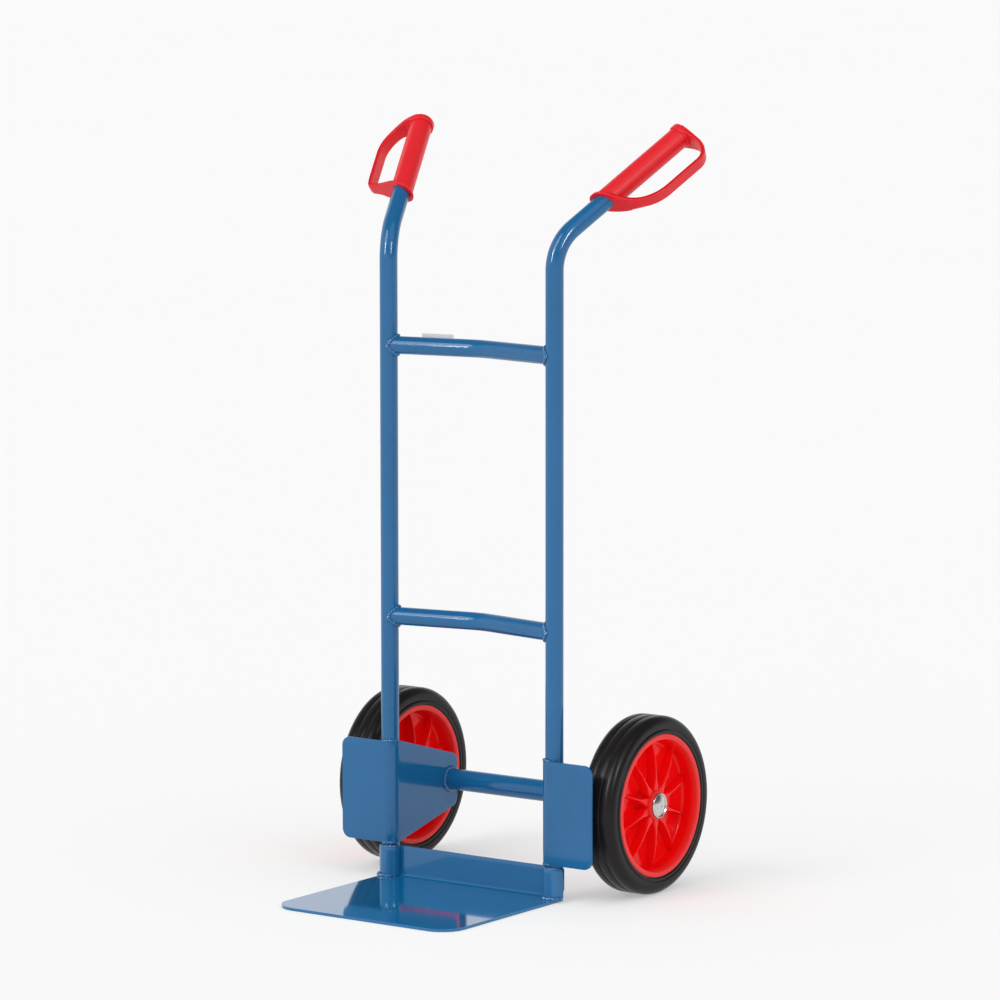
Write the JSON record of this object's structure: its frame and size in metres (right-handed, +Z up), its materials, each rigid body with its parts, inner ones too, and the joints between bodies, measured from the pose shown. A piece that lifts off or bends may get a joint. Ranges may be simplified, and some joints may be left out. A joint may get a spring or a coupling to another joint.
{
  "type": "two-wheel hand truck",
  "caption": "Upright sack truck: welded tube frame with bowed cross tubes, toe plate, solid-tyred wheels on sheet brackets, and handles with knuckle guards.",
  "frame": {"origin": "on the floor under the toe plate, on the centre plane and on the line of the uprights' axes", "axes": "+Z up along the uprights, -Y forward over the toe plate, +Y to the wheels, +X to the right side seen from the front"},
  "size_m": [0.5323, 0.506, 1.0607],
  "materials": {
    "frame_paint": "glossy powder coat",
    "plate_paint": "glossy powder coat",
    "grip_plastic": "satin moulded plastic",
    "rim_plastic": "glossy moulded plastic",
    "tyre_rubber": "matte solid rubber",
    "zinc_plate": "zinc-plated",
    "bearing_steel": "ground",
    "cage_plastic": "moulded",
    "label_white": "smooth blank plate"
  },
  "bodies": {
    "frame": {"left_upright": "frame_paint", "right_upright": "frame_paint", "upper_cross_tube": "frame_paint", "lower_cross_tube": "frame_paint", "axle_tube": "frame_paint", "left_wheel_bracket": "frame_paint", "right_wheel_bracket": "frame_paint", "toe_plate": "plate_paint", "left_grip": "grip_plastic", "left_hub_cap": "zinc_plate", "left_inner_washer": "zinc_plate", "left_outer_washer": "zinc_plate", "left_spacer": "zinc_plate", "right_grip": "grip_plastic", "right_hub_cap": "zinc_plate", "right_inner_washer": "zinc_plate", "right_outer_washer": "zinc_plate", "right_spacer": "zinc_plate", "axle": "zinc_plate", "label_plate": "label_white"},
    "left_wheel": {"left_rim": "rim_plastic", "left_tyre": "tyre_rubber", "left_bearing_shell": "bearing_steel"},
    "left_bearing": {"left_roller_cage": "cage_plastic", "left_rollers": "bearing_steel"},
    "right_wheel": {"right_rim": "rim_plastic", "right_tyre": "tyre_rubber", "right_bearing_shell": "bearing_steel"},
    "right_bearing": {"right_roller_cage": "cage_plastic", "right_rollers": "bearing_steel"}
  },
  "joints": [
    {"name": "left_wheel_spin", "type": "hinge", "parent": "frame", "child": "left_wheel", "pos_m": [-0.2075, 0.122, 0.124], "axis": [1, 0, 0], "continuous": true},
    {"name": "left_bearing_spin", "type": "hinge", "parent": "frame", "child": "left_bearing", "pos_m": [-0.2075, 0.122, 0.124], "axis": [1, 0, 0], "continuous": true},
    {"name": "right_wheel_spin", "type": "hinge", "parent": "frame", "child": "right_wheel", "pos_m": [0.2075, 0.122, 0.124], "axis": [1, 0, 0], "continuous": true},
    {"name": "right_bearing_spin", "type": "hinge", "parent": "frame", "child": "right_bearing", "pos_m": [0.2075, 0.122, 0.124], "axis": [1, 0, 0], "continuous": true}
  ],
  "couplings": [
    {"joint": "left_bearing_spin", "follows": "left_wheel_spin", "ratio": 0.565},
    {"joint": "right_bearing_spin", "follows": "right_wheel_spin", "ratio": 0.565}
  ]
}
